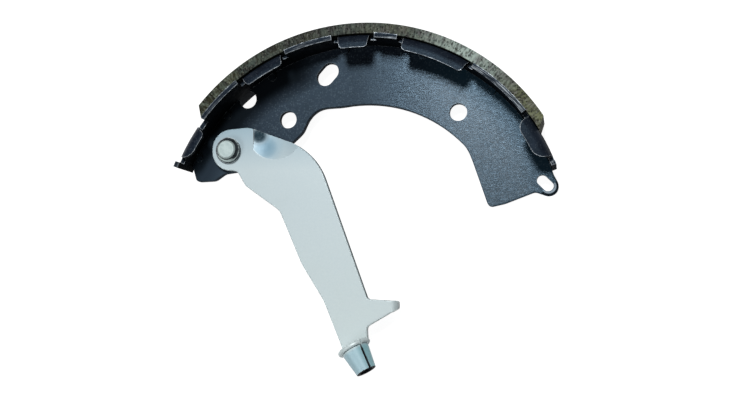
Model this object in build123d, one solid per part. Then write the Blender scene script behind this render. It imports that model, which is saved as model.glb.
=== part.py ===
from build123d import *
import os
from math import acos, atan2, cos, degrees, radians, sin

# Rear drum brake shoe with its parking lever. All sizes are in millimetres and degrees.
# +Z is the drum's axis and points at the side that carries the lever. The origin lies on that
# axis, in the middle of the web's thickness. Angles go round the axis from +X towards +Y.

# Drum and friction lining
DRUM_RADIUS = 101.5
LINING_THICKNESS = 4.95
LINING_START_ANGLE = 30.2
LINING_END_ANGLE = 142.6
LINING_BEVEL_ANGLE = 2.4     # how much sooner the rubbing face ends than the foot does
LINING_INSET = 1.5           # bare rim beside the lining at each edge
BOND_LINE = 0.05

# Rim, a rolled strip whose front edge is folded in as tabs
RIM_THICKNESS = 2.25
RIM_FRONT = 18.4             # from the middle of the web to the front edge
RIM_BACK = 8.6               # from the middle of the web to the back edge
RIM_START_ANGLE = 19.6
RIM_END_ANGLE = 158.4
RIM_STEP_ANGLE = 1.8         # how much shorter the strip behind the web is at each end
TAB_BEND = 5.5               # outer radius of the fold
TAB_TAPER = 1.0              # how far each side of a tab leans in
RELIEF_WIDTH = 2.2           # notch in the front edge after the end of each tab
RELIEF_BELOW = 0.5           # how much deeper the notch is than the fold

# Each tab: start, end, reach in from the rim's inner face, radii of its first and last corner,
# width of the notch before its start
TABS = (
    (22.0, 35.0, 5.4, 6.5, 5.0, 2.2),
    (56.9, 77.2, 4.5, 2.0, 2.0, 2.2),
    (86.4, 96.1, 4.7, 2.0, 2.0, 2.2),
    (112.9, 126.5, 3.9, 2.0, 2.0, 2.2),
    (145.0, 155.4, 4.1, 2.5, 6.0, 4.4),
)

# Web, a pressed plate. Its points are (depth in from its outer edge, angle).
WEB_THICKNESS = 3.4
WEB_DEPTH = 28.7             # from the outer edge to the arch
WEB_FIT = 0.05               # between the web's outer edge and the rim
WEB_EDGE = 0.4               # rounding of the pressed edge on the lever's side
WEB_START_ANGLE = 18.3
WEB_END_ANGLE = 156.9
TOE = ((1.2, 157.5), (5.0, 160.5), (13.6, 158.1), (16.8, 154.4), (33.7, 143.4), (33.5, 119.9))
TOE_RADII = (1.0, 2.0, 5.0, 3.0, 15.0, 9.7)
TOE_END = (30.6, 116.4)
LOBE_RELIEF = (27.0, 108.9)  # hollow between the lobe and the arch
ARCH_LEFT_ANGLE = 98.0
ARCH_RIGHT_ANGLE = 43.5
LEG_TOP = (31.4, 32.3)
LEG = ((33.0, 14.0), (25.2, 13.8), (10.4, 15.0))
LEG_RADII = (2.4, 12.0, 3.5)
LOOP_CENTRE = (3.8, 15.5)
LOOP_RADIUS = 4.5

# Holes in the web
ROUND_HOLE_RADIUS = 4.2
LOBE_HOLE = (24.0, 122.4)
SHOULDER_HOLE = (18.7, 52.9)
STRUT_SLOT = (11.3, 102.5)
STRUT_SLOT_RADIUS = 4.2
STRUT_SLOT_TRAVEL = 3.8      # between the centres of the slot's two ends
STRUT_SLOT_ANGLE = 48.0
SPRING_SLOT = (4.9, 16.7)
SPRING_SLOT_RADIUS = 2.55
SPRING_SLOT_TRAVEL = 3.7
SPRING_SLOT_ANGLE = -45.0
EDGE_NOTCH = (3.0, 129.8)
EDGE_NOTCH_RADIUS = 4.4

# Projection welds between web and rim
WELD_ANGLES = (48.7, 71.9, 95.7, 119.5, 137.7, 153.4)
WELD_RADIUS = 2.1
WELD_DEPTH = 1.2             # from the web's outer edge to the middle of a bead
WELD_HEIGHT = 0.8
WELD_ROUND = 0.5

# Pivot pin, spring washer and horseshoe clip
PIVOT = (14.1, 146.3)
PIN_RADIUS = 4.5
PIN_FIT = 0.05               # between the pin and each hole it passes
PIN_HEAD_RADIUS = 6.5
PIN_HEAD_HEIGHT = 2.2
PIN_TIP = 1.7                # pin showing above the clip
PIN_CHAMFER = 0.6
GROOVE_RADIUS = 3.6
GROOVE_CLEARANCE = 0.05      # above and below the clip
CLIP_RADIUS = 5.9
CLIP_THICKNESS = 1.2
CLIP_BITE = 0.05             # between the clip and the bottom of the groove
CLIP_MOUTH = 5.4
CLIP_OFFSET = 0.5            # the closed side of the horseshoe is the thicker one
WASHER_RADIUS = 6.3
WASHER_THICKNESS = 0.5
WASHER_BOW = 0.45

# Parking lever. Its points are (x, y) from the pivot.
LEVER_THICKNESS = 3.2
SLIDE_GAP = 0.3              # between the lever and what it slides on
LEVER_EDGE = 0.5             # rounding of the pressed edge on the outer side
STOP_FACE = 83.6             # end of the finger, from the pivot along X
STOP_BELOW = 1.2             # how far the finger's bent tip reaches below the web's middle
HOOK_CENTRE = (63.6, -94.6)
HOOK_ANGLE = -59.5           # direction of the hook's axis in the lever's plane
NECK = 6.6                   # half the lever's width where it meets the hook
LEVER_HEAD = ((-8.4, -9.3), (-8.4, 9.8), (10.3, 11.1), (43.5, -1.4), (69.2, -72.2))
HEAD_RADII = (9.6, 9.6, 10.0, 31.0, 2.0)
FINGER = ((STOP_FACE, -73.0), (STOP_FACE, -76.6), (68.8, -85.2))
FINGER_RADII = (1.2, 1.2, 2.5)
LEVER_SIDE = (
    (56.2, -93.0), (47.9, -72.8), (37.0, -55.4), (26.0, -29.9), (8.7, -17.5), (4.4, -10.2),
)
SIDE_RADII = (1.0, 20.0, 30.0, 6.0, 5.0, 3.5)

# Dished seat beside the pivot, where the strut bears on the lever
DISH_STEP = 12.5             # straight wall at the dish's near side, from the pivot along X
DISH_CENTRE = (23.4, 8.8)
DISH_REACH = 14.0
DISH_DEPTH = 2.0

# Rolled cable hook with a flared collar
HOOK_TILT_ANGLE = 9.0        # how far the hook's axis leans out of the lever's plane
HOOK_LENGTH = 12.4
COLLAR_LIP = 1.5             # how far the collar stands out round the hook's top
COLLAR_THICKNESS = 2.2
COLLAR_ROUND = 0.9
HOOK_TOP_RADIUS = 6.6
HOOK_END_RADIUS = 4.8
HOOK_WALL = 1.7
CABLE_HOLE_RADIUS = 3.3
CABLE_HOLE_LENGTH = 4.5
SEAM_WIDTH = 1.3
SEAM_ANGLE = 42.0            # from straight up towards the finger

# Worked out from the sizes above
LINING_FOOT = DRUM_RADIUS - LINING_THICKNESS
RIM_OUTER = LINING_FOOT - BOND_LINE
RIM_INNER = RIM_OUTER - RIM_THICKNESS
WEB_OUTER = RIM_INNER - WEB_FIT
WEB_FACE = WEB_THICKNESS / 2
LEVER_BACK = WEB_FACE + SLIDE_GAP
LEVER_FACE = LEVER_BACK + LEVER_THICKNESS
CLIP_BACK = LEVER_FACE + SLIDE_GAP + WASHER_BOW + WASHER_THICKNESS + GROOVE_CLEARANCE
CLIP_FACE = CLIP_BACK + CLIP_THICKNESS
COLLAR_RADIUS = HOOK_TOP_RADIUS + COLLAR_LIP


def polar(radius, angle):
    """The point at this radius and angle from the drum's axis."""
    return (radius * cos(radians(angle)), radius * sin(radians(angle)))


def on_web(spot):
    """The point of a (depth, angle) pair on the web."""
    depth, angle = spot
    return polar(WEB_OUTER - depth, angle)


def clockwise(angle):
    """The direction of travel clockwise round the axis at this angle."""
    return (sin(radians(angle)), -cos(radians(angle)))


def touch_angle(centre, radius, point, side):
    """Where on a circle the line from an outside point touches it."""
    away = Vector(*point) - Vector(*centre)
    return degrees(atan2(away.Y, away.X) + side * acos(radius / away.length))


def ring_piece(section, start, end):
    """Turn a section, drawn as (radius, height), round the axis from start to end."""
    solid = revolve(Plane.XZ * section, axis=Axis.Z, revolution_arc=end - start)
    return Rot(0, 0, start) * solid


def block(low, high):
    """A box between two opposite corners."""
    size = [b - a for a, b in zip(low, high)]
    middle = [(a + b) / 2 for a, b in zip(low, high)]
    return Pos(*middle) * Box(*size)


def slot_cutter(spot, radius, travel, turn):
    """A slot with round ends through the web."""
    face = SlotCenterToCenter(travel, 2 * radius, rotation=turn)
    return Pos(*on_web(spot), -WEB_THICKNESS) * extrude(face, 2 * WEB_THICKNESS)


def make_lining():
    """Bonded friction lining: an arc of constant thickness with bevelled ends."""
    low = LINING_INSET - RIM_BACK
    high = RIM_FRONT - LINING_INSET
    start = LINING_START_ANGLE + LINING_BEVEL_ANGLE
    end = LINING_END_ANGLE - LINING_BEVEL_ANGLE
    foot_start = polar(LINING_FOOT, LINING_START_ANGLE)
    foot_end = polar(LINING_FOOT, LINING_END_ANGLE)
    span = LINING_END_ANGLE - LINING_START_ANGLE
    outline = [
        CenterArc((0, 0), LINING_FOOT, LINING_START_ANGLE, span),
        Line(foot_end, polar(DRUM_RADIUS, end)),
        CenterArc((0, 0), DRUM_RADIUS, start, end - start),
        Line(polar(DRUM_RADIUS, start), foot_start),
    ]
    return Pos(0, 0, low) * extrude(make_face(outline), high - low)


def strip_section(inner, outer, low, high):
    """Section of a plain strip between two radii and two heights."""
    corners = [(inner, low), (outer, low), (outer, high), (inner, high)]
    return make_face(Polyline(*corners, close=True))


def tab_section(reach, root):
    """Section of a tab from its root, up round the fold and in along the flange."""
    bend_radius = RIM_OUTER - TAB_BEND
    bend_height = RIM_FRONT - TAB_BEND
    tab_edge = RIM_INNER - reach
    tab_back = RIM_FRONT - RIM_THICKNESS
    fold = (bend_radius, bend_height)
    outline = [
        Line((RIM_INNER, root), (RIM_OUTER, root)),
        Line((RIM_OUTER, root), (RIM_OUTER, bend_height)),
        CenterArc(fold, TAB_BEND, 0, 90),
        Line((bend_radius, RIM_FRONT), (tab_edge, RIM_FRONT)),
        Line((tab_edge, RIM_FRONT), (tab_edge, tab_back)),
        Line((tab_edge, tab_back), (bend_radius, tab_back)),
        CenterArc(fold, TAB_BEND - RIM_THICKNESS, 0, 90),
        Line((RIM_INNER, bend_height), (RIM_INNER, root)),
    ]
    return make_face(outline)


def tab_plan(tab):
    """A tab seen along the axis: a sector with leaning sides and two round corners."""
    start, end, reach, first, last = tab[:5]
    inner = RIM_INNER - reach
    outer = RIM_OUTER + TAB_BEND
    lean = degrees(TAB_TAPER / inner)
    sector = make_face([
        CenterArc((0, 0), inner, start + lean, end - start - 2 * lean),
        Line(polar(inner, end - lean), polar(outer, end)),
        CenterArc((0, 0), outer, start, end - start),
        Line(polar(outer, start), polar(inner, start + lean)),
    ])
    for angle, radius in ((start + lean, first), (end - lean, last)):
        corner = sector.vertices().sort_by_distance(polar(inner, angle))[0]
        sector = fillet(corner, radius)
    return sector


def make_rim():
    """Rolled rim with folded tabs and relief notches, cut back at both ends behind the web."""
    strip = strip_section(RIM_INNER, RIM_OUTER, -RIM_BACK, RIM_FRONT)
    rim = ring_piece(strip, RIM_START_ANGLE, RIM_END_ANGLE)
    inside = RIM_INNER - RIM_THICKNESS
    outside = RIM_OUTER + RIM_THICKNESS
    root = RIM_FRONT - TAB_BEND - RELIEF_BELOW
    notch = strip_section(inside, outside, root, RIM_FRONT + TAB_BEND)
    after = degrees(RELIEF_WIDTH / RIM_INNER)
    for tab in TABS:
        start, end, reach = tab[:3]
        before = degrees(tab[-1] / RIM_INNER)
        rim -= ring_piece(notch, start - before, end + after)
        plan = Pos(0, 0, root) * extrude(tab_plan(tab), RIM_FRONT - root)
        rim += ring_piece(tab_section(reach, root), start, end) & plan
    step = strip_section(inside, outside, -2 * RIM_BACK, -WEB_FACE)
    for start in (RIM_START_ANGLE - RIM_STEP_ANGLE, RIM_END_ANGLE - RIM_STEP_ANGLE):
        rim -= ring_piece(step, start, start + 2 * RIM_STEP_ANGLE)
    return rim


def web_outline():
    """The pressed plate's outline, anticlockwise along the rim and back along the inside."""
    arch = WEB_OUTER - WEB_DEPTH
    toe = [polar(WEB_OUTER, WEB_END_ANGLE)] + [on_web(spot) for spot in TOE] + [on_web(TOE_END)]
    lobe = on_web(TOE[-1])
    lobe_side = Vector(*toe[-1]) - Vector(*lobe)
    leg_top = on_web(LEG_TOP)
    leg_side = Vector(*on_web(LEG[0])) - Vector(*leg_top)
    rim_end = polar(WEB_OUTER, WEB_START_ANGLE)
    loop_from = touch_angle(on_web(LOOP_CENTRE), LOOP_RADIUS, on_web(LEG[-1]), 1)
    loop_to = touch_angle(on_web(LOOP_CENTRE), LOOP_RADIUS, rim_end, -1)
    loop = CenterArc(on_web(LOOP_CENTRE), LOOP_RADIUS, loop_from, (loop_to - loop_from) % 360)
    leg = [leg_top] + [on_web(spot) for spot in LEG] + [loop @ 0]
    return [
        CenterArc((0, 0), WEB_OUTER, WEB_START_ANGLE, WEB_END_ANGLE - WEB_START_ANGLE),
        FilletPolyline(*toe, radius=list(TOE_RADII)),
        Spline(toe[-1], on_web(LOBE_RELIEF), polar(arch, ARCH_LEFT_ANGLE),
               tangents=[lobe_side, clockwise(ARCH_LEFT_ANGLE)]),
        CenterArc((0, 0), arch, ARCH_RIGHT_ANGLE, ARCH_LEFT_ANGLE - ARCH_RIGHT_ANGLE),
        Spline(polar(arch, ARCH_RIGHT_ANGLE), leg_top,
               tangents=[clockwise(ARCH_RIGHT_ANGLE), leg_side]),
        FilletPolyline(*leg, radius=list(LEG_RADII)),
        loop,
        Line(loop @ 1, rim_end),
    ]


def weld_bead(angle):
    """A flattened bead of weld metal on each face of the web, against the rim."""
    reach = WEB_THICKNESS + 2 * WELD_HEIGHT
    bead = Cylinder(WELD_RADIUS, reach)
    bead = fillet(bead.edges().filter_by(GeomType.CIRCLE), WELD_ROUND)
    bead = Pos(*on_web((WELD_DEPTH, angle)), 0) * bead
    return bead & Cylinder(WEB_OUTER, reach)


def make_web():
    """Pressed web with its holes, and the weld beads that join it to the rim."""
    plate = Pos(0, 0, -WEB_FACE) * extrude(make_face(web_outline()), WEB_THICKNESS)
    for spot in (LOBE_HOLE, SHOULDER_HOLE):
        plate -= Pos(*on_web(spot), 0) * Cylinder(ROUND_HOLE_RADIUS, 2 * WEB_THICKNESS)
    plate -= slot_cutter(STRUT_SLOT, STRUT_SLOT_RADIUS, STRUT_SLOT_TRAVEL, STRUT_SLOT_ANGLE)
    plate -= slot_cutter(SPRING_SLOT, SPRING_SLOT_RADIUS, SPRING_SLOT_TRAVEL, SPRING_SLOT_ANGLE)
    plate -= Pos(*on_web(EDGE_NOTCH), 0) * Cylinder(EDGE_NOTCH_RADIUS, 2 * WEB_THICKNESS)
    plate -= Pos(*on_web(PIVOT), 0) * Cylinder(PIN_RADIUS + PIN_FIT, 2 * WEB_THICKNESS)
    pressed = plate.faces().sort_by(Axis.Z)[-1].outer_wire().edges()
    inside = pressed.filter_by(lambda edge: (edge @ 0.5).length < WEB_OUTER)
    plate = fillet(inside, WEB_EDGE)
    for angle in WELD_ANGLES:
        plate += weld_bead(angle)
    return plate


def make_pin():
    """Headed pivot pin, put in from the back, with a groove for the clip."""
    tip = CLIP_FACE + PIN_TIP
    low = CLIP_BACK - GROOVE_CLEARANCE
    high = CLIP_FACE + GROOVE_CLEARANCE
    head_back = -WEB_FACE - PIN_HEAD_HEIGHT
    half = [
        (0, head_back), (PIN_HEAD_RADIUS - PIN_CHAMFER, head_back),
        (PIN_HEAD_RADIUS, head_back + PIN_CHAMFER), (PIN_HEAD_RADIUS, -WEB_FACE),
        (PIN_RADIUS, -WEB_FACE), (PIN_RADIUS, low), (GROOVE_RADIUS, low),
        (GROOVE_RADIUS, high), (PIN_RADIUS, high), (PIN_RADIUS, tip - PIN_CHAMFER),
        (PIN_RADIUS - PIN_CHAMFER, tip), (0, tip),
    ]
    pin = revolve(Plane.XZ * make_face(Polyline(*half, close=True)), axis=Axis.Z)
    return Pos(*on_web(PIVOT), 0) * pin


def make_washer():
    """Spring washer, a flat ring bowed about one diameter."""
    low = LEVER_FACE + SLIDE_GAP
    reach = WASHER_RADIUS
    strip = make_face([
        ThreePointArc((-reach, 0), (0, WASHER_BOW), (reach, 0)),
        Line((reach, 0), (reach, WASHER_THICKNESS)),
        ThreePointArc((reach, WASHER_THICKNESS), (0, WASHER_BOW + WASHER_THICKNESS),
                      (-reach, WASHER_THICKNESS)),
        Line((-reach, WASHER_THICKNESS), (-reach, 0)),
    ])
    sheet = extrude(Plane.XZ * strip, WASHER_RADIUS, both=True)
    height = 4 * (WASHER_BOW + WASHER_THICKNESS)
    ring = Cylinder(WASHER_RADIUS, height) - Cylinder(PIN_RADIUS + PIN_FIT, height)
    return Pos(*on_web(PIVOT), low) * (sheet & ring)


def make_clip():
    """Horseshoe clip pressed into the pin's groove, open on the side away from the arm."""
    inner = GROOVE_RADIUS + CLIP_BITE
    clip = Pos(CLIP_OFFSET, 0) * Circle(CLIP_RADIUS) - Circle(inner)
    mouth = Pos(-CLIP_RADIUS, 0) * Rectangle(2 * CLIP_RADIUS, CLIP_MOUTH)
    return Pos(*on_web(PIVOT), CLIP_BACK) * extrude(clip - mouth, CLIP_THICKNESS)


def dish_cutter():
    """A ball that presses a shallow dish, kept to the far side of its straight wall."""
    radius = (DISH_REACH ** 2 + DISH_DEPTH ** 2) / (2 * DISH_DEPTH)
    ball = Pos(*DISH_CENTRE, LEVER_FACE - DISH_DEPTH + radius) * Sphere(radius)
    side = DISH_STEP + 2 * DISH_REACH
    return ball & block((DISH_STEP, -radius, 0), (side, radius, LEVER_FACE + DISH_DEPTH))


def stop_tab(face):
    """The finger's tip, bent down through the web's plane."""
    bend = LEVER_THICKNESS
    low = -STOP_BELOW
    tip = Pos(0, 0, low) * extrude(face, LEVER_FACE - low)
    inside = STOP_FACE - bend
    reach = STOP_FACE + bend
    width = 2 * abs(FINGER[-1][1])
    tip &= block((inside, -width, low), (reach, 0, LEVER_FACE))
    corner = block((inside, -width, LEVER_FACE - bend), (reach, 0, LEVER_FACE))
    round_off = Pos(inside, -width / 2, LEVER_FACE - bend) * Rot(90, 0, 0) * Cylinder(bend, width)
    return tip, corner - round_off


def hook_place():
    """Frame of the cable hook: Z along its axis, X up from the lever and square to Z."""
    height = LEVER_BACK + HOOK_TOP_RADIUS
    turn = radians(HOOK_ANGLE)
    tilt = radians(HOOK_TILT_ANGLE)
    along = (cos(tilt) * cos(turn), cos(tilt) * sin(turn), sin(tilt))
    above = (-sin(tilt) * cos(turn), -sin(tilt) * sin(turn), cos(tilt))
    return Plane(origin=(*HOOK_CENTRE, height), x_dir=above, z_dir=along)


def hook_shell():
    """The rolled hook's outside with its collar, flush with the lever's back."""
    top = COLLAR_THICKNESS / 2
    half = [
        (0, -top), (COLLAR_RADIUS, -top), (COLLAR_RADIUS, top), (HOOK_TOP_RADIUS, top),
        (HOOK_END_RADIUS, HOOK_LENGTH), (0, HOOK_LENGTH),
    ]
    shell = revolve(Plane.XZ * make_face(Polyline(*half, close=True)), axis=Axis.Z)
    rim = shell.edges().filter_by(lambda edge: edge.radius == COLLAR_RADIUS
                                  if edge.geom_type == GeomType.CIRCLE else False)
    shell = hook_place() * fillet(rim, COLLAR_ROUND)
    reach = 2 * HOOK_LENGTH
    x, y = HOOK_CENTRE
    keep = block((x - reach, y - reach, LEVER_BACK), (x + reach, y + reach, LEVER_BACK + 2 * reach))
    return shell & keep


def hook_cutter():
    """The hook's inside: a funnel for the cable's nipple, the cable hole and the seam."""
    top = COLLAR_THICKNESS / 2
    neck = HOOK_LENGTH - CABLE_HOLE_LENGTH
    over = 2 * HOOK_LENGTH
    half = [
        (0, -top), (HOOK_TOP_RADIUS - HOOK_WALL, -top), (CABLE_HOLE_RADIUS, neck),
        (CABLE_HOLE_RADIUS, over), (0, over),
    ]
    inside = revolve(Plane.XZ * make_face(Polyline(*half, close=True)), axis=Axis.Z)
    seam = block((0, -SEAM_WIDTH / 2, -2 * top), (2 * COLLAR_RADIUS, SEAM_WIDTH / 2, over))
    inside += Rot(0, 0, -SEAM_ANGLE) * seam
    return hook_place() * inside


def lever_face():
    """The flat lever's outline."""
    x, y = HOOK_CENTRE
    across, drop = clockwise(HOOK_ANGLE)
    neck = ((x - NECK * across, y - NECK * drop), (x + NECK * across, y + NECK * drop))
    points = LEVER_HEAD + FINGER + neck + LEVER_SIDE
    radii = HEAD_RADII + FINGER_RADII + (LEVER_EDGE, LEVER_EDGE) + SIDE_RADII
    return make_face(FilletPolyline(*points, radius=list(radii), close=True))


def make_lever():
    """Parking lever: one pressed plate with its dish, stop and rolled cable hook."""
    face = lever_face()
    lever = Pos(0, 0, LEVER_BACK) * extrude(face, LEVER_THICKNESS)
    lever = fillet(lever.faces().sort_by(Axis.Z)[-1].edges(), LEVER_EDGE)
    tip, tip_round = stop_tab(face)
    lever = lever + tip - tip_round
    lever += hook_shell()
    lever -= hook_cutter()
    lever -= dish_cutter()
    lever -= Cylinder(PIN_RADIUS + PIN_FIT, 4 * LEVER_FACE)
    return Pos(*on_web(PIVOT), 0) * lever


NODES = {
    "lining": make_lining,
    "rim": make_rim,
    "web": make_web,
    "parking_lever": make_lever,
    "pivot_pin": make_pin,
    "spring_washer": make_washer,
    "horseshoe_clip": make_clip,
}

os.makedirs("parts", exist_ok=True)
for name, make in NODES.items():
    export_step(make(), f"parts/{name}.step")
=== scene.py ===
import bpy
from mathutils import Matrix, Vector


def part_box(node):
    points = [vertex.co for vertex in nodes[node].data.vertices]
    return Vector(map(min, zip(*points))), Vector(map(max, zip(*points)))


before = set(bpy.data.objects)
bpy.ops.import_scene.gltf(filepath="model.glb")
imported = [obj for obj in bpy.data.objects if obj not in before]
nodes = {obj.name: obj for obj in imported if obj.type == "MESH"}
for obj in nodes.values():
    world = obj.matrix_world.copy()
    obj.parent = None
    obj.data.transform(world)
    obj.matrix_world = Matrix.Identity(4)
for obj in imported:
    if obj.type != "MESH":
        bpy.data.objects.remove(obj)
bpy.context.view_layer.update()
scene = bpy.context.scene
scene.view_settings.view_transform = "Standard"
bpy.ops.object.select_all(action="DESELECT")


# The camera looks down on the shoe, a little from its right and its foot.
# It is a plain lens with no depth of field.
CAMERA_PLACE = (0.094747, -0.025535, 0.466787)
CAMERA_RIGHT = (0.98209, 0.0, -0.18843)
CAMERA_UP = (0.01771, 0.99557, 0.09230)
CAMERA_BACK = (0.18760, -0.09399, 0.97774)
CAMERA_SENSOR = 36.0                    # millimetres, as on the lens
CAMERA_LENS = 47.97
CAMERA_NEAREST = 0.01

bpy.ops.object.camera_add()
camera = bpy.context.object
camera.name = "camera"
camera.data.sensor_width = CAMERA_SENSOR
camera.data.lens = CAMERA_LENS
camera.data.clip_start = CAMERA_NEAREST
turn = Matrix((CAMERA_RIGHT, CAMERA_UP, CAMERA_BACK)).transposed()
camera.matrix_world = Matrix.Translation(CAMERA_PLACE) @ turn.to_4x4()
scene.camera = camera


# The floor is a pale studio table, level with the lowest edge of the rim.
# Seen straight on or in a reflection it is white, and the shoe's soft shadow stays on it.
FLOOR_SIZE = 8.0
FLOOR_COLOUR = (0.30, 0.30, 0.30, 1.0)
FLOOR_WHITE = (1.0, 1.0, 1.0, 1.0)
FLOOR_LIFT = 0.95                       # how much white it adds to what the lamps give it
FLOOR_ROUGHNESS = 0.9
FLOOR_SHINE = 0.1


def give(tree, node, inputs):
    """Gives a node's inputs their values, or links them to the sockets that feed them."""
    for name, value in inputs.items():
        if isinstance(value, bpy.types.NodeSocket):
            tree.links.new(value, node.inputs[name])
        else:
            node.inputs[name].default_value = value


def put(tree, kind, inputs, **settings):
    """Adds a shader node with its settings and its inputs."""
    node = tree.nodes.new("ShaderNode" + kind)
    for name, value in settings.items():
        setattr(node, name, value)
    give(tree, node, inputs)
    return node


def math(tree, operation, first, second=0.0, third=0.0):
    """One sum on numbers or sockets."""
    return put(tree, "Math", {0: first, 1: second, 2: third}, operation=operation).outputs[0]


def times(tree, first, second):
    """The product of two numbers or sockets."""
    return math(tree, "MULTIPLY", first, second)


def most(tree, first, second):
    """The larger of two numbers or sockets."""
    return math(tree, "MAXIMUM", first, second)


def new_finish(name):
    """An empty material with its shader, and the place of a point on the piece."""
    material = bpy.data.materials.new(name)
    material.use_nodes = True
    tree = material.node_tree
    tree.nodes.clear()
    shader = put(tree, "BsdfPrincipled", {})
    put(tree, "OutputMaterial", {"Surface": shader.outputs["BSDF"]})
    place = put(tree, "TexCoord", {}).outputs["Object"]
    return material, tree, shader, place


floor_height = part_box("rim")[0].z
bpy.ops.mesh.primitive_plane_add(size=FLOOR_SIZE, location=(0, 0, floor_height))
floor = bpy.context.object
floor.name = "floor"
table_white, tree, shader, place = new_finish("table_white")
path = put(tree, "LightPath", {}).outputs
seen = most(tree, path["Is Camera Ray"], path["Is Glossy Ray"])
seen = most(tree, seen, path["Is Transmission Ray"])
give(tree, shader, {
    "Base Color": FLOOR_COLOUR,
    "Roughness": FLOOR_ROUGHNESS,
    "Specular IOR Level": FLOOR_SHINE,
    "Emission Color": FLOOR_WHITE,
    "Emission Strength": times(tree, seen, FLOOR_LIFT),
})
floor.data.materials.append(table_white)


# Studio light: a soft box high above the lining's side, which gives the flat web its sheen
# and the rim its shadow, a weak wide fill from the other side, and a dim room.
SOFT_BOX_PLACE = (-0.01, 0.52, 1.20)
SOFT_BOX_SIZE = (0.22, 0.30)
SOFT_BOX_WATTS = 12.0
FILL_PLACE = (-0.60, -0.50, 0.90)
FILL_SIZE = (0.60, 0.60)
FILL_WATTS = 3.5
LAMP_TARGET = (0.0, 0.03, 0.0)
ROOM_COLOUR = (0.86, 0.93, 1.0, 1.0)
ROOM_STRENGTH = 0.05


def add_lamp(name, lamp_place, size, watts):
    """A rectangular lamp that shines at the shoe."""
    bpy.ops.object.light_add(type="AREA", location=lamp_place)
    lamp = bpy.context.object
    lamp.name = name
    lamp.data.shape = "RECTANGLE"
    lamp.data.size, lamp.data.size_y = size
    lamp.data.energy = watts
    way = Vector(LAMP_TARGET) - lamp.location
    lamp.rotation_euler = way.to_track_quat("-Z", "Y").to_euler()


add_lamp("soft_box", SOFT_BOX_PLACE, SOFT_BOX_SIZE, SOFT_BOX_WATTS)
add_lamp("fill", FILL_PLACE, FILL_SIZE, FILL_WATTS)

room = bpy.data.worlds.new("studio_room")
scene.world = room
room.use_nodes = True
background = room.node_tree.nodes["Background"]
give(room.node_tree, background, {"Color": ROOM_COLOUR, "Strength": ROOM_STRENGTH})


# Friction lining: a moulded compound of resin, fibre and metal dust, bonded to the rim.
# Its edges are cut and its face is ground to the drum, so both show fine straight marks.
# Angles here and below are radians round the drum, from its right side.
LINING_DARK = (0.002, 0.003, 0.002, 1.0)
LINING_GREEN = (0.070, 0.096, 0.080, 1.0)
LINING_OLIVE = (0.066, 0.068, 0.026, 1.0)
LINING_OCHRE = (0.175, 0.185, 0.080, 1.0)
LINING_PAINTED_SHEEN = (0.440, 0.550, 0.500, 1.0)
LINING_FIBRE = (0.300, 0.330, 0.260, 1.0)
LINING_PIT = (0.003, 0.003, 0.003, 1.0)
OCHRE_FROM = 0.55                       # angles over which the ochre of its right end fades
OCHRE_TO = 0.90
OCHRE_ON_PATCHES = (0.3, 0.8)           # how it takes on the dark and on the open patches
SHEEN_MIDDLE = 1.02                      # angle of its stretch of painted sheen, and how far that goes
SHEEN_REACH = 0.30
SHEEN_ON_PATCHES = (0.60, 0.95)
SHEEN_ON_CUTS = (0.45, 1.0)              # and between the deep and the shallow cuts
SHEEN_CUTS = (0.15, 0.75)
LINING_SHADE_MIDDLE = 1.80                      # and of its stretch of painted shade
LINING_SHADE_FULL = 0.10
LINING_SHADE_REACH = 0.52
STAIN_SHARE = 0.50                      # how far each of these covers the colour under it
CUT_SHARE = 0.75
CUT_SHALLOW = 0.5                       # a cut is dark up to this depth in its marks
HAIR_SHARE = 0.22
HAIR_FROM = 0.6                         # and a pale hair above this
FIBRE_SHARE = 0.45
PIT_SHARE = 0.85
LINING_SHADE_SHARE = 0.46
LINING_WALL_SHADE_SHARE = 0.75
LINING_ROUGHNESS = (0.34, 0.50)
LINING_WALL_ROUGHNESS = 0.85
LINING_SHINE = 0.14
LINING_RELIEF = 0.00012                 # depth of its pits
CUT_HEIGHT = 0.5                        # heights of its cuts and patches, as shares of that
PATCH_HEIGHT = 0.6
DRUM_RADIUS = 0.1                       # about the drum's own, to turn angles into lengths


def new_effect(name, **values):
    """A node group with a place and some numbers as inputs and one mask as output."""
    group = bpy.data.node_groups.new(name, "ShaderNodeTree")
    group.interface.new_socket("Place", in_out="INPUT", socket_type="NodeSocketVector")
    for number, usual in values.items():
        made = group.interface.new_socket(number, in_out="INPUT", socket_type="NodeSocketFloat")
        made.default_value = usual
    group.interface.new_socket("Mask", in_out="OUTPUT", socket_type="NodeSocketFloat")
    start = group.nodes.new("NodeGroupInput").outputs
    end = group.nodes.new("NodeGroupOutput").inputs
    return group, start, end


def effect(tree, group, place, **values):
    """Places an effect in a material with its own values, and gives its mask."""
    return put(tree, "Group", {"Place": place, **values}, node_tree=group).outputs["Mask"]


def blend(tree, mask, first, second):
    """Mixes two colours by a mask."""
    return put(tree, "Mix", {0: mask, 6: first, 7: second}, data_type="RGBA").outputs[2]


def ramp(tree, value, low, high, to_low=0.0, to_high=1.0):
    """Spreads the part of a value between low and high over a new range."""
    inputs = {0: value, 1: low, 2: high, 3: to_low, 4: to_high}
    return put(tree, "MapRange", inputs).outputs[0]


def between(tree, mask, limits):
    """Spreads a whole mask over the range between two limits."""
    return ramp(tree, mask, 0.0, 1.0, *limits)


def lumps(tree, place, size, detail, roughness=0.5):
    """Soft noise whose lumps have one size in metres."""
    scale = math(tree, "DIVIDE", 1.0, size)
    inputs = {"Vector": place, "Scale": scale, "Detail": detail, "Roughness": roughness}
    return put(tree, "TexNoise", inputs).outputs[0]


def on_drum(tree, place):
    """A point's angle round the drum's axis, its distance from that axis and its height."""
    split = put(tree, "SeparateXYZ", {0: place}).outputs
    flat = put(tree, "CombineXYZ", {0: split[0], 1: split[1]}).outputs[0]
    reach = put(tree, "VectorMath", {0: flat}, operation="LENGTH").outputs["Value"]
    return math(tree, "ARCTAN2", split[1], split[0]), reach, split[2]


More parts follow.
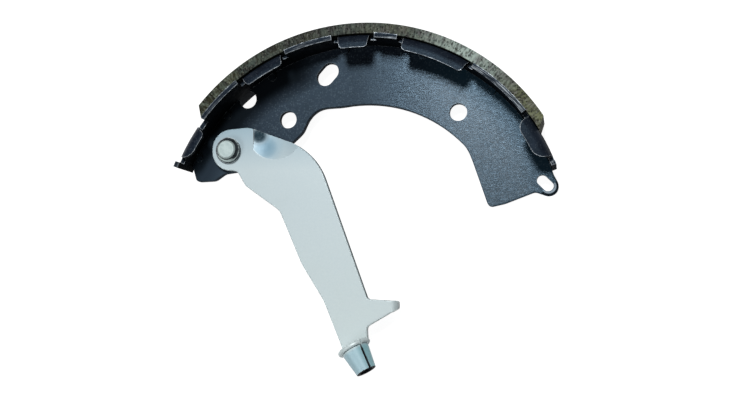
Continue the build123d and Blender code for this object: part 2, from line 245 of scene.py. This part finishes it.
def stretch(tree, angle, middle, full, gone):
    """One round an angle and out to the first distance, falling to none at the second."""
    apart = math(tree, "ABSOLUTE", math(tree, "SUBTRACT", angle, middle))
    return ramp(tree, apart, full, gone, 1.0, 0.0)


def bumps(tree, height, depth, strength, under=None):
    """A surface raised by a height from 0 to 1, on another raised surface or on none."""
    inputs = {"Height": height, "Strength": strength, "Distance": depth}
    if under is not None:
        inputs["Normal"] = under
    return put(tree, "Bump", inputs).outputs[0]


def dress(name, material):
    """Puts a finish on a piece, in place of the plain one."""
    nodes[name].data.materials.clear()
    nodes[name].data.materials.append(material)


# Clouds: soft patches at one size in metres, from 0 to 1.
clouds, start, end = new_effect("clouds", Size=0.01, Contrast=3.0)
spread = lumps(clouds, start["Place"], start["Size"], detail=3.0, roughness=0.55)
spread = math(clouds, "SUBTRACT", spread, 0.5)
spread = math(clouds, "MULTIPLY_ADD", spread, start["Contrast"], 0.5)
clouds.links.new(put(clouds, "Clamp", {0: spread}).outputs[0], end["Mask"])

# Grains: scattered specks of one size in metres, with a share of the surface from 0 to 1.
SPECK_RIM = 0.5                         # shares of that size at which a speck ends
SPECK_CORE = 0.2                        # and is full

grains, start, end = new_effect("grains", Size=0.001, Share=0.2)
scale = math(grains, "DIVIDE", 1.0, start["Size"])
cells = put(grains, "TexVoronoi", {"Vector": start["Place"], "Scale": scale}).outputs
pick = put(grains, "SeparateXYZ", {0: cells["Color"]}).outputs[0]
chosen = math(grains, "LESS_THAN", pick, start["Share"])
spot = ramp(grains, cells["Distance"], SPECK_RIM, SPECK_CORE)
grains.links.new(times(grains, chosen, spot), end["Mask"])

# Drum marks: streaks that follow the drum, drawn out along it, across it or through it.
MARK_NOISE = (0.32, 0.68)               # the part of the noise that makes the marks

drum_marks, start, end = new_effect("drum_marks", Along=0.002, Outward=0.002, Upward=0.002)
angle, reach, height = on_drum(drum_marks, start["Place"])
arc = math(drum_marks, "DIVIDE", times(drum_marks, angle, DRUM_RADIUS), start["Along"])
reach = math(drum_marks, "DIVIDE", reach, start["Outward"])
height = math(drum_marks, "DIVIDE", height, start["Upward"])
drawn_out = put(drum_marks, "CombineXYZ", {0: arc, 1: reach, 2: height}).outputs[0]
marks = ramp(drum_marks, lumps(drum_marks, drawn_out, size=1.0, detail=2.0), *MARK_NOISE)
drum_marks.links.new(marks, end["Mask"])

# Cut walls: the sides of a plate or a block that stand upright, from 0 to 1, a little patchy.
LEVEL_GONE = 0.6                        # how level a surface is where the walls begin
LEVEL_FULL = 0.3                        # and where they are full
WALL_NOISE = (0.3, 0.6)
WALL_PATCHY = (0.85, 1.0)

cut_walls, start, end = new_effect("cut_walls", Patch=0.004)
surface = put(cut_walls, "NewGeometry", {}).outputs["Normal"]
level = math(cut_walls, "ABSOLUTE", put(cut_walls, "SeparateXYZ", {0: surface}).outputs[2])
steep = ramp(cut_walls, level, LEVEL_GONE, LEVEL_FULL)
patchy = lumps(cut_walls, start["Place"], start["Patch"], detail=2.0)
patchy = ramp(cut_walls, patchy, *WALL_NOISE, *WALL_PATCHY)
cut_walls.links.new(times(cut_walls, steep, patchy), end["Mask"])

friction, tree, shader, place = new_finish("friction_compound")
angle = on_drum(tree, place)[0]
walls = effect(tree, cut_walls, place)
patches = effect(tree, clouds, place, Size=0.0030, Contrast=7.0)
stains = effect(tree, clouds, place, Size=0.014, Contrast=5.0)
fibres = effect(tree, grains, place, Size=0.0011, Share=0.26)
pits = effect(tree, grains, place, Size=0.0010, Share=0.40)
cuts = effect(tree, drum_marks, place, Along=0.0010, Outward=0.0035, Upward=0.004)
ochre = ramp(tree, angle, OCHRE_FROM, OCHRE_TO, 1.0, 0.0)
ochre = times(tree, ochre, between(tree, patches, OCHRE_ON_PATCHES))
# Painted sheen: a pale bluish stretch round one angle stands in for the lamp's sheen on the face.
painted_sheen = stretch(tree, angle, SHEEN_MIDDLE, 0.0, SHEEN_REACH)
painted_sheen = times(tree, painted_sheen, between(tree, patches, SHEEN_ON_PATCHES))
painted_sheen = times(tree, painted_sheen, ramp(tree, cuts, *SHEEN_CUTS, *SHEEN_ON_CUTS))
# Painted shade: a darker stretch round another angle, where the lamp's sheen falls away.
painted_shade = stretch(tree, angle, LINING_SHADE_MIDDLE, LINING_SHADE_FULL, LINING_SHADE_REACH)
colour = blend(tree, patches, LINING_DARK, LINING_GREEN)
colour = blend(tree, times(tree, stains, STAIN_SHARE), colour, LINING_OLIVE)
colour = blend(tree, ochre, colour, LINING_OCHRE)
colour = blend(tree, painted_sheen, colour, LINING_PAINTED_SHEEN)
colour = blend(tree, ramp(tree, cuts, 0.0, CUT_SHALLOW, CUT_SHARE, 0.0), colour, LINING_PIT)
colour = blend(tree, ramp(tree, cuts, HAIR_FROM, 1.0, 0.0, HAIR_SHARE), colour, LINING_FIBRE)
colour = blend(tree, times(tree, fibres, FIBRE_SHARE), colour, LINING_FIBRE)
colour = blend(tree, times(tree, pits, PIT_SHARE), colour, LINING_PIT)
colour = blend(tree, times(tree, painted_shade, LINING_SHADE_SHARE), colour, LINING_DARK)
# Painted shade darkens its upright cut walls.
colour = blend(tree, times(tree, walls, LINING_WALL_SHADE_SHARE), colour, LINING_DARK)
rough = between(tree, patches, LINING_ROUGHNESS)
relief = math(tree, "SUBTRACT", times(tree, cuts, CUT_HEIGHT), pits)
relief = math(tree, "ADD", relief, times(tree, patches, PATCH_HEIGHT))
give(tree, shader, {
    "Base Color": colour,
    "Roughness": most(tree, rough, times(tree, walls, LINING_WALL_ROUGHNESS)),
    "Specular IOR Level": LINING_SHINE,
    "Normal": bumps(tree, relief, LINING_RELIEF, strength=0.7),
})
dress("lining", friction)


# Rim: a steel strip rolled to the drum's curve, with its front edge folded in as tabs.
# It is dipped in black paint, and its sheared front edge has rubbed through to bright steel.
PAINT_BLACK = (0.005, 0.007, 0.012, 1.0)
PAINT_BLUE = (0.014, 0.020, 0.032, 1.0)
PAINT_DUST = (0.070, 0.085, 0.100, 1.0)
# Painted shade: the paint as it looks where no light reaches it.
PAINT_IN_SHADE = (0.0015, 0.0020, 0.0030, 1.0)
PAINT_TINT = (0.50, 0.76, 1.0, 1.0)
PEEL_SHARE = 0.35                       # how far peel and dust lighten the paint
DUST_SHARE = 0.32
DUST_HEIGHT = 0.6
PEEL_DEPTH = 0.000034
SHADE_ROUGHNESS = 0.95                  # of cut walls and of what the light doesn't reach
GRAIN_ALONG = 0.004                     # the strip's rolled grain, which shows in its sheen
GRAIN_ACROSS = 0.00007
GRAIN_DEPTH = 0.000031
BARE_STEEL = (0.560, 0.620, 0.660, 1.0)
BARE_METALLIC = 0.6
BARE_WALL_TO = 0.8                      # cut walls past this far stay painted
RIM_EDGE_LOW = 0.0182                   # height at which the front edge begins
RIM_EDGE_IN = 0.0940                    # radii between which the front edge has rubbed bright
RIM_EDGE_OUT = 0.0957
RIM_EDGE_SOFT = 0.0003
RIM_RUB_MARKS = (0.60, 0.90)            # the part of the drum's marks that is rubbed through
RIM_RUB_SHARE = 0.64
RIM_RUB_FROM = 1.50                     # angles over which that rubbing grows weaker
RIM_RUB_TO = 1.75
RIM_RUB_LEFT = 0.22
RIM_EDGE_ROUGHER = 0.25
RIM_FOOT_ROUGHER = 0.12                 # the right end is duller up to these angles
RIM_FOOT_FROM = 0.52
RIM_FOOT_TO = 0.64

# Edge wear: the sharp outside edges of a piece, from 0 to 1, broken up where paint holds.
EDGE_SOFT = 0.99                        # how alike a rounded and a real surface are where
EDGE_SHARP = 0.86                       # an edge begins and where it is sharp
EDGE_NOISE = (0.35, 0.60)
EDGE_HOLD = (0.15, 1.0)                 # how much of the wear shows where paint holds or not

edge_wear, start, end = new_effect("edge_wear", Width=0.0003, Patch=0.003)
rounded = put(edge_wear, "Bevel", {"Radius": start["Width"]}, samples=6).outputs[0]
surface = put(edge_wear, "NewGeometry", {}).outputs["Normal"]
alike = put(edge_wear, "VectorMath", {0: rounded, 1: surface}, operation="DOT_PRODUCT")
sharp = ramp(edge_wear, alike.outputs["Value"], EDGE_SOFT, EDGE_SHARP)
patchy = lumps(edge_wear, start["Place"], start["Patch"], detail=3.0)
patchy = ramp(edge_wear, patchy, *EDGE_NOISE, *EDGE_HOLD)
edge_wear.links.new(times(edge_wear, sharp, patchy), end["Mask"])

# Rolled grain: the fine straight marks that the mill leaves along a strip, under its finish.
rolled_grain, start, end = new_effect("rolled_grain", Along=0.004, Across=0.0001)
split = put(rolled_grain, "SeparateXYZ", {0: start["Place"]}).outputs
along = math(rolled_grain, "DIVIDE", split[0], start["Along"])
across = math(rolled_grain, "DIVIDE", split[1], start["Across"])
drawn_out = put(rolled_grain, "CombineXYZ", {0: along, 1: across, 2: split[2]}).outputs[0]
rolled_grain.links.new(lumps(rolled_grain, drawn_out, size=1.0, detail=1.0), end["Mask"])


def black_paint(name, wear_width, wear_share, shine, sheen):
    """Dipped black paint with orange peel and dust, and painted shade on its upright walls;
    returns what each piece adds to.
    """
    material, tree, shader, place = new_finish(name)
    patches = effect(tree, clouds, place, Size=0.006, Contrast=2.5)
    peel = effect(tree, clouds, place, Size=0.00055, Contrast=2.0)
    dust = effect(tree, grains, place, Size=0.0008, Share=0.45)
    grain = effect(tree, rolled_grain, place, Along=GRAIN_ALONG, Across=GRAIN_ACROSS)
    walls = effect(tree, cut_walls, place)
    worn = effect(tree, edge_wear, place, Width=wear_width, Patch=0.002)
    worn = times(tree, worn, ramp(tree, walls, 0.0, BARE_WALL_TO, wear_share, 0.0))
    colour = blend(tree, patches, PAINT_BLACK, PAINT_BLUE)
    colour = blend(tree, times(tree, peel, PEEL_SHARE), colour, PAINT_BLUE)
    colour = blend(tree, times(tree, dust, DUST_SHARE), colour, PAINT_DUST)
    # Painted shade on the upright walls.
    colour = blend(tree, walls, colour, PAINT_IN_SHADE)
    rough = ramp(tree, math(tree, "ADD", peel, patches), 0.0, 2.0, *sheen)
    rough = most(tree, rough, times(tree, walls, SHADE_ROUGHNESS))
    skin = bumps(tree, math(tree, "ADD", peel, times(tree, dust, DUST_HEIGHT)), PEEL_DEPTH,
                 strength=0.45)
    give(tree, shader, {
        "Specular IOR Level": shine,
        "Specular Tint": PAINT_TINT,
        "Normal": bumps(tree, grain, GRAIN_DEPTH, strength=1.0, under=skin),
    })
    return material, tree, shader, place, colour, rough, worn


def bare_through(tree, shader, bare, colour, rough):
    """Finishes painted steel, with the bare metal where a mask shows it."""
    give(tree, shader, {
        "Base Color": blend(tree, bare, colour, BARE_STEEL),
        "Metallic": times(tree, bare, BARE_METALLIC),
        "Roughness": rough,
    })


rim_paint, tree, shader, place, colour, rough, worn = black_paint(
    "rim_paint", wear_width=0.0007, wear_share=0.80, shine=0.13, sheen=(0.30, 0.42))
angle, reach, height = on_drum(tree, place)
edge = math(tree, "GREATER_THAN", height, RIM_EDGE_LOW)
edge = times(tree, edge, math(tree, "GREATER_THAN", reach, RIM_EDGE_IN))
edge = times(tree, edge, ramp(tree, reach, RIM_EDGE_OUT, RIM_EDGE_OUT + RIM_EDGE_SOFT, 1.0, 0.0))
rubs = effect(tree, drum_marks, place, Along=0.009, Outward=0.0005, Upward=0.002)
bright_mark = times(tree, edge, ramp(tree, rubs, *RIM_RUB_MARKS, 0.0, RIM_RUB_SHARE))
bright_mark = times(tree, bright_mark, ramp(tree, angle, RIM_RUB_FROM, RIM_RUB_TO, 1.0, RIM_RUB_LEFT))
duller = ramp(tree, angle, RIM_FOOT_FROM, RIM_FOOT_TO, RIM_FOOT_ROUGHER, 0.0)
rough = math(tree, "ADD", rough, duller)
rough = math(tree, "ADD", rough, times(tree, edge, RIM_EDGE_ROUGHER))
bare_through(tree, shader, most(tree, worn, bright_mark), colour, rough)
dress("rim", rim_paint)


# Web: the flat pressed plate, in the same black paint, welded edge-on to the rim.
# Handling has rubbed the broad face of its right leg to a satin, and painted sheen lightens it
# there; its pressed edge shows thin bright lines.
WEB_TOE_SHEEN = (0.021, 0.032, 0.046, 1.0)
WEB_PAINTED_SHEEN = (0.018, 0.050, 0.078, 1.0)
WEB_SPECK = (0.120, 0.165, 0.200, 1.0)
PAINTED_SHEEN_SHARE = 0.80
SPECK_SHARE = 0.28
SHEEN_LEG_FROM = 0.016                    # the right leg is polished and painted with a lighter sheen between these
SHEEN_LEG_TO = 0.048
POLISH = 0.48                           # how far, and how much that changes from spot to spot
POLISH_ON_SPOTS = (0.60, 1.40)
POLISH_ROUGHNESS = 0.40
POLISH_IN = 0.0800                      # radii over which it fades towards the rim
POLISH_OUT = 0.0900
POLISH_LEFT = 0.15
DULL_FROM = 1.33                        # angles over which the paint grows duller, to the left
DULL_TO = 1.60
DULLER = 0.20
TAB_SHADOW_IN = 0.0775                        # radii over which the painted shadow of the rim's tabs grows to the rim
TAB_SHADOW_OUT = 0.0860
TAB_SHADOW_FROM = 1.78                        # and angles over which it grows to the left
TAB_SHADOW_TO = 1.96
TAB_SHADOW_ROUGHER = 0.6
LOOP_PLACE = (0.08711, 0.02416, 0.0017)
LOOP_WAY = (0.60, -0.80, 0.0)           # the side on which the end loop is free
LOOP_SOFT = 0.0008
LOOP_DARK_FROM = 0.0034                 # the loop's rounded outer edge falls into the dark
LOOP_DARK_TO = 0.0037
LOOP_LIGHT_IN = 0.0026                  # and the crest inside it catches the light
LOOP_LIGHT_OUT = 0.0034
LOOP_LIGHT_SHARE = 0.45
TOE_PLACE = (-0.0763, 0.0350, 0.0017)   # the left foot is painted with a lighter sheen round this point
TOE_FULL = 0.006
TOE_GONE = 0.018
TOE_SHARE = 0.9


def without(tree, first, second):
    """A mask with another mask taken off it."""
    return times(tree, first, math(tree, "SUBTRACT", 1.0, second))


def away_from(tree, place, point):
    """How far a point of the piece is from another point."""
    return put(tree, "VectorMath", {0: place, 1: point}, operation="DISTANCE").outputs["Value"]


def near(tree, place, middle, full, gone):
    """One at a point of the piece and out to the first distance, falling to none at the second."""
    return ramp(tree, away_from(tree, place, middle), full, gone, 1.0, 0.0)


def along_way(tree, offset, way):
    """How far an offset goes along a way."""
    return put(tree, "VectorMath", {0: offset, 1: way}, operation="DOT_PRODUCT").outputs["Value"]


def from_point(tree, place, point):
    """The offset of a place from a point."""
    return put(tree, "VectorMath", {0: place, 1: point}, operation="SUBTRACT").outputs[0]


web_paint, tree, shader, place, colour, rough, worn = black_paint(
    "web_paint", wear_width=0.0004, wear_share=0.35, shine=0.37, sheen=(0.18, 0.28))
angle, reach = on_drum(tree, place)[:2]
walls = effect(tree, cut_walls, place)

# Painted shadow of the rim's tabs: near-black and rougher by the rim on the left.
tab_shadow = times(tree, ramp(tree, reach, TAB_SHADOW_IN, TAB_SHADOW_OUT), ramp(tree, angle, TAB_SHADOW_FROM, TAB_SHADOW_TO))
rough = math(tree, "ADD", rough, ramp(tree, angle, DULL_FROM, DULL_TO, 0.0, DULLER))
rough = math(tree, "ADD", rough, times(tree, tab_shadow, TAB_SHADOW_ROUGHER))
rough = math(tree, "MINIMUM", rough, SHADE_ROUGHNESS)
colour = blend(tree, tab_shadow, colour, PAINT_IN_SHADE)

polished_and_sheen = ramp(tree, put(tree, "SeparateXYZ", {0: place}).outputs[0], SHEEN_LEG_FROM, SHEEN_LEG_TO)
# Painted sheen: a lighter bluish tone on the right leg.
colour = blend(tree, times(tree, polished_and_sheen, PAINTED_SHEEN_SHARE), colour, WEB_PAINTED_SHEEN)
specks = without(tree, effect(tree, grains, place, Size=0.0009, Share=0.50), tab_shadow)
colour = blend(tree, times(tree, specks, SPECK_SHARE), colour, WEB_SPECK)
spots = effect(tree, clouds, place, Size=0.0007, Contrast=3.0)
polish = times(tree, polished_and_sheen, POLISH)
polish = times(tree, polish, between(tree, spots, POLISH_ON_SPOTS))
polish = times(tree, polish, ramp(tree, reach, POLISH_IN, POLISH_OUT, 1.0, POLISH_LEFT))
polish = without(tree, polish, walls)

beyond = along_way(tree, from_point(tree, place, LOOP_PLACE), LOOP_WAY)
beyond = without(tree, ramp(tree, beyond, 0.0, LOOP_SOFT), walls)
from_loop = away_from(tree, place, LOOP_PLACE)
outer = times(tree, beyond, ramp(tree, from_loop, LOOP_DARK_FROM, LOOP_DARK_TO))
crest = times(tree, math(tree, "GREATER_THAN", from_loop, LOOP_LIGHT_IN),
              math(tree, "LESS_THAN", from_loop, LOOP_LIGHT_OUT))
crest = times(tree, crest, beyond)
colour = blend(tree, outer, colour, PAINT_IN_SHADE)
colour = blend(tree, times(tree, crest, LOOP_LIGHT_SHARE), colour, BARE_STEEL)
rough = most(tree, rough, times(tree, outer, SHADE_ROUGHNESS))
polish = without(tree, polish, outer)

toe_sheen = times(tree, near(tree, place, TOE_PLACE, TOE_FULL, TOE_GONE), TOE_SHARE)
colour = blend(tree, toe_sheen, colour, WEB_TOE_SHEEN)
give(tree, shader, {"Coat Weight": polish, "Coat Roughness": POLISH_ROUGHNESS})
bare_through(tree, shader, worn, colour, rough)
dress("web", web_paint)


# Parking lever: pressed from plate with its dish, stop and rolled hook, then zinc plated.
# The plating is pale and even; painted shade darkens the dish and turns it blue.
# It swings on the pin through its head, and its hook takes the cable.
ZINC_PALE = (0.600, 0.700, 0.725, 1.0)
ZINC_FOOT = (0.680, 0.780, 0.780, 1.0)
ZINC_BLUE = (0.290, 0.435, 0.520, 1.0)
HOOK_PAINTED_REFLECTION = (0.380, 0.590, 0.670, 1.0)
ZINC_SHADE = (0.250, 0.520, 0.570, 1.0)
ZINC_DULL = (0.520, 0.610, 0.650, 1.0)
ZINC_WALL_SHADE = (0.060, 0.095, 0.100, 1.0)
ZINC_WORN = (0.750, 0.800, 0.820, 1.0)
ZINC_METALLIC = 0.1
ZINC_ROUGHNESS = (0.38, 0.48)
ZINC_DEPTH = 0.00003
DULL_ROUGHNESS = 0.85                   # of the dish's painted dark shade, of the walls and inside the hook
ZINC_DULL_SHARE = 0.20                  # how far each of these covers the plating
ZINC_FINE_SHARE = 0.10
ZINC_WALL_SHADE_SHARE = 0.80
ZINC_WORN_SHARE = 0.40
HEAD_FROM = 0.034                       # the plating turns bluer between these up the lever
HEAD_TO = 0.060
FOOT_FROM = -0.045                      # and paler between these
FOOT_TO = 0.020
FINGER_FROM = -0.0290                   # the painted shade on its walls is weaker below these
FINGER_TO = -0.0265
FINGER_EDGE = 0.3
DISH_MID_SHADE_COLOUR = (0.110, 0.240, 0.330, 1.0)
DISH_DARK_SHADE_COLOUR = (0.010, 0.036, 0.055, 1.0)
DISH_MIDDLE = (-0.04324, 0.05324, 0.0)
DISH_REACH = 0.0145
DISH_SOFT = 0.0002
DISH_FLOOR = 0.00515                    # what lies lower on the lever's face is in the dish
DISH_BACK = 0.0025
DISH_SHADING_PLACE = (-0.04814, 0.04564, 0.0045)
DISH_MID_SHADE_FULL = 0.0018
DISH_MID_SHADE_GONE = 0.0062
DISH_SOFT_SHADE_FULL = 0.0040
DISH_SOFT_SHADE_GONE = 0.0095
DISH_DARK_SHADE_PLACE = (-0.05144, 0.05164, 0.0045)
DISH_DARK_SHADE_FULL = 0.0022
DISH_DARK_SHADE_GONE = 0.0056
DISH_DARK_SHADE_THIN_TO = 0.6                    # the dark painted shade is thinner where the fine patches are below this
DISH_DARK_SHADE_THIN = 0.85
HOOK_INSIDE_SHADE = (0.010, 0.014, 0.018, 1.0)
HOOK_TOP = (-0.00304, -0.05016, 0.00860)
HOOK_SIDE = (0.86157, 0.50764, 0.0)     # the side that the light leaves in shade
HOOK_SIDE_FROM = 0.0010
HOOK_SIDE_TO = 0.0055
HOOK_AXIS = (0.50129, -0.85102, 0.15643)
HOOK_LENGTH = 0.0124
HOOK_CUT = 0.0001
HOOK_TOP_RADIUS = 0.0066
HOOK_END_RADIUS = 0.0048
HOOK_SKIN = 0.0003                      # how deep into its wall the hook's colour holds before the painted shade inside
HOOK_FROM = 0.0009                      # the hook's painted darker, bluer reflection begins below its collar
HOOK_TO = 0.0025
HOOK_SHARE = 0.85
COLLAR_FROM = -0.0030                   # the painted shade on its walls ends above it
COLLAR_TO = -0.0010

zinc_plate, tree, shader, place = new_finish("zinc_plate")
patches = effect(tree, clouds, place, Size=0.008, Contrast=2.5)
fine = effect(tree, clouds, place, Size=0.0009, Contrast=2.0)
worn = effect(tree, edge_wear, place, Width=0.0004, Patch=0.003)
split = put(tree, "SeparateXYZ", {0: place}).outputs
colour = blend(tree, ramp(tree, split[1], FOOT_FROM, FOOT_TO, 1.0, 0.0), ZINC_PALE, ZINC_FOOT)
colour = blend(tree, times(tree, patches, ZINC_DULL_SHARE), colour, ZINC_DULL)
colour = blend(tree, times(tree, fine, ZINC_FINE_SHARE), colour, ZINC_BLUE)
colour = blend(tree, ramp(tree, split[1], HEAD_FROM, HEAD_TO), colour, ZINC_BLUE)

in_dish = near(tree, place, DISH_MIDDLE, DISH_REACH, DISH_REACH + DISH_SOFT)
in_dish = times(tree, in_dish, math(tree, "LESS_THAN", split[2], DISH_FLOOR))
in_dish = times(tree, in_dish, math(tree, "GREATER_THAN", split[2], DISH_BACK))
# Painted shade in the dish: soft blue, mid blue and a dark core where its slope faces away from
# the light.
dish_soft_shade = times(tree, in_dish, near(tree, place, DISH_SHADING_PLACE, DISH_SOFT_SHADE_FULL, DISH_SOFT_SHADE_GONE))
dish_mid_shade = times(tree, in_dish, near(tree, place, DISH_SHADING_PLACE, DISH_MID_SHADE_FULL, DISH_MID_SHADE_GONE))
dish_dark_shade = times(tree, in_dish, near(tree, place, DISH_DARK_SHADE_PLACE, DISH_DARK_SHADE_FULL, DISH_DARK_SHADE_GONE))
dish_dark_shade = times(tree, dish_dark_shade, ramp(tree, fine, 0.0, DISH_DARK_SHADE_THIN_TO, DISH_DARK_SHADE_THIN, 1.0))
colour = blend(tree, dish_soft_shade, colour, ZINC_BLUE)
colour = blend(tree, dish_mid_shade, colour, DISH_MID_SHADE_COLOUR)
colour = blend(tree, dish_dark_shade, colour, DISH_DARK_SHADE_COLOUR)

from_top = from_point(tree, place, HOOK_TOP)
down = along_way(tree, from_top, HOOK_AXIS)
on_hook = ramp(tree, down, HOOK_FROM, HOOK_TO)
sideways = ramp(tree, along_way(tree, from_top, HOOK_SIDE), HOOK_SIDE_FROM, HOOK_SIDE_TO)
# Painted reflection: the hook is darker and bluer.
colour = blend(tree, times(tree, on_hook, HOOK_SHARE), colour, HOOK_PAINTED_REFLECTION)
colour = blend(tree, times(tree, on_hook, sideways), colour, ZINC_SHADE)
flank = ramp(tree, down, 0.0, HOOK_LENGTH, HOOK_TOP_RADIUS, HOOK_END_RADIUS)
on_axis = put(tree, "VectorMath", {0: HOOK_AXIS, 3: down}, operation="SCALE").outputs[0]
depth = math(tree, "SUBTRACT", flank, away_from(tree, from_top, on_axis))
# Painted shade inside the rolled hook and on its open end.
inside_shade = times(tree, on_hook, ramp(tree, depth, HOOK_SKIN, 2 * HOOK_SKIN))
inside_shade = most(tree, inside_shade, math(tree, "GREATER_THAN", down, HOOK_LENGTH - HOOK_CUT))

# Painted shade on the lever's upright walls.
shaded_walls = times(tree, effect(tree, cut_walls, place),
                ramp(tree, down, COLLAR_FROM, COLLAR_TO, 1.0, 0.0))
shaded_walls = times(tree, shaded_walls, ramp(tree, split[1], FINGER_FROM, FINGER_TO, FINGER_EDGE, 1.0))
colour = blend(tree, times(tree, shaded_walls, ZINC_WALL_SHADE_SHARE), colour, ZINC_WALL_SHADE)
colour = blend(tree, times(tree, worn, ZINC_WORN_SHARE), colour, ZINC_WORN)
colour = blend(tree, inside_shade, colour, HOOK_INSIDE_SHADE)
dull = most(tree, most(tree, dish_dark_shade, inside_shade), shaded_walls)
rough = between(tree, patches, ZINC_ROUGHNESS)
give(tree, shader, {
    "Base Color": colour,
    "Metallic": ZINC_METALLIC,
    "Roughness": most(tree, rough, times(tree, dull, DULL_ROUGHNESS)),
    "Normal": bumps(tree, fine, ZINC_DEPTH, strength=0.25),
})
dress("parking_lever", zinc_plate)


# Pivot pin: turned from bar and zinc plated, with the lathe's fine rings left on its end.
# Its head is behind the web, and its groove in front holds the clip.
PIN_COLOUR = (0.540, 0.650, 0.645, 1.0)
PIN_SHADE = (0.330, 0.430, 0.430, 1.0)
PIN_WORN = (0.700, 0.760, 0.760, 1.0)
PIN_SHADE_SHARE = 0.5
PIN_WORN_SHARE = 0.5
PIN_METALLIC = 0.3
PIN_ROUGHNESS = (0.42, 0.55)
PIN_DEPTH = 0.00004
pin_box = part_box("pivot_pin")
PIN_CENTRE = (pin_box[0] + pin_box[1]) / 2
FULL_TURN = 6.2832                      # radians


def centred_on_pin(tree, place):
    """The place of a point seen from the middle of the pin."""
    return put(tree, "Mapping", {"Vector": place, "Location": -PIN_CENTRE}).outputs[0]


# Lathe rings: fine rings about the middle of a turned end, at one pitch in metres.
lathe_rings, start, end = new_effect("lathe_rings", Pitch=0.0005)
reach = on_drum(lathe_rings, start["Place"])[1]
rings = times(lathe_rings, math(lathe_rings, "DIVIDE", reach, start["Pitch"]), FULL_TURN)
rings = math(lathe_rings, "MULTIPLY_ADD", math(lathe_rings, "SINE", rings), 0.5, 0.5)
lathe_rings.links.new(rings, end["Mask"])

pin_zinc, tree, shader, place = new_finish("pin_zinc")
rings = effect(tree, lathe_rings, centred_on_pin(tree, place), Pitch=0.0008)
patches = effect(tree, clouds, place, Size=0.002, Contrast=3.5)
worn = effect(tree, edge_wear, place, Width=0.0004, Patch=0.002)
colour = blend(tree, times(tree, patches, PIN_SHADE_SHARE), PIN_COLOUR, PIN_SHADE)
give(tree, shader, {
    "Base Color": blend(tree, times(tree, worn, PIN_WORN_SHARE), colour, PIN_WORN),
    "Metallic": PIN_METALLIC,
    "Roughness": between(tree, patches, PIN_ROUGHNESS),
    "Normal": bumps(tree, math(tree, "ADD", rings, patches), PIN_DEPTH, strength=0.3),
})
dress("pivot_pin", pin_zinc)


# Spring washer: a bowed ring of plain spring steel round the pin.
# The clip presses it on the lever, which keeps the lever from rattling.
WASHER_COLOUR = (0.480, 0.540, 0.570, 1.0)
WASHER_SHADE = (0.060, 0.075, 0.090, 1.0)
WASHER_METALLIC = 0.7
WASHER_ROUGHNESS = (0.35, 0.50)

washer_steel, tree, shader, place = new_finish("washer_steel")
patches = effect(tree, clouds, place, Size=0.0012, Contrast=3.0)
worn = effect(tree, edge_wear, place, Width=0.0003, Patch=0.002)
colour = blend(tree, patches, WASHER_SHADE, WASHER_COLOUR)
give(tree, shader, {
    "Base Color": blend(tree, worn, colour, BARE_STEEL),
    "Metallic": WASHER_METALLIC,
    "Roughness": between(tree, patches, WASHER_ROUGHNESS),
})
dress("spring_washer", washer_steel)


# Horseshoe clip: stamped spring steel with a black oxide finish, pushed into the pin's groove.
# A painted highlight lightens one side, and a thin painted highlight runs along its rim.
CLIP_BLACK = (0.004, 0.007, 0.010, 1.0)
CLIP_GREY = (0.018, 0.028, 0.036, 1.0)
CLIP_HIGHLIGHT = (0.400, 0.490, 0.480, 1.0)
CLIP_ROUGHNESS = (0.32, 0.50)
CLIP_SHINE = 0.15
CLIP_DEPTH = 0.00003
CLIP_LIT_WAY = (-0.30, -0.95, 0.0)      # the side that a painted highlight lightens
CLIP_LIT_FROM = 0.0030
CLIP_LIT_TO = 0.0044
CLIP_HOLE_FROM = 0.0045                 # radii at which that begins beside the pin
CLIP_HOLE_TO = 0.0051
CLIP_RIM_IN = 0.0058                    # radii of the thin painted highlight along its rim
CLIP_RIM_OUT = 0.0062
CLIP_LIT_PATCHES = (0.0, 0.7)           # the part of the patches that thins the painted highlight
CLIP_LIT_SHARES = (0.5, 1.0)
CLIP_RIM_PATCHES = (0.1, 0.8)           # and the line
CLIP_RIM_SHARES = (0.15, 0.75)
CLIP_WORN_SHARE = 0.8

black_oxide, tree, shader, place = new_finish("black_oxide")
patches = effect(tree, clouds, place, Size=0.0015, Contrast=3.0)
worn = effect(tree, edge_wear, place, Width=0.0003, Patch=0.002)
centred = centred_on_pin(tree, place)
reach = on_drum(tree, centred)[1]
# Painted highlight: one side and a thin line along the rim are lighter.
bright_mark = ramp(tree, along_way(tree, centred, CLIP_LIT_WAY), CLIP_LIT_FROM, CLIP_LIT_TO)
bright_mark = times(tree, bright_mark, ramp(tree, reach, CLIP_HOLE_FROM, CLIP_HOLE_TO))
bright_mark = times(tree, bright_mark, ramp(tree, patches, *CLIP_LIT_PATCHES, *CLIP_LIT_SHARES))
rim_highlight = times(tree, math(tree, "GREATER_THAN", reach, CLIP_RIM_IN),
             math(tree, "LESS_THAN", reach, CLIP_RIM_OUT))
rim_highlight = times(tree, rim_highlight, ramp(tree, patches, *CLIP_RIM_PATCHES, *CLIP_RIM_SHARES))
colour = blend(tree, patches, CLIP_BLACK, CLIP_GREY)
colour = blend(tree, most(tree, bright_mark, rim_highlight), colour, CLIP_HIGHLIGHT)
give(tree, shader, {
    "Base Color": blend(tree, times(tree, worn, CLIP_WORN_SHARE), colour, BARE_STEEL),
    "Roughness": between(tree, patches, CLIP_ROUGHNESS),
    "Specular IOR Level": CLIP_SHINE,
    "Normal": bumps(tree, patches, CLIP_DEPTH, strength=0.2),
})
dress("horseshoe_clip", black_oxide)
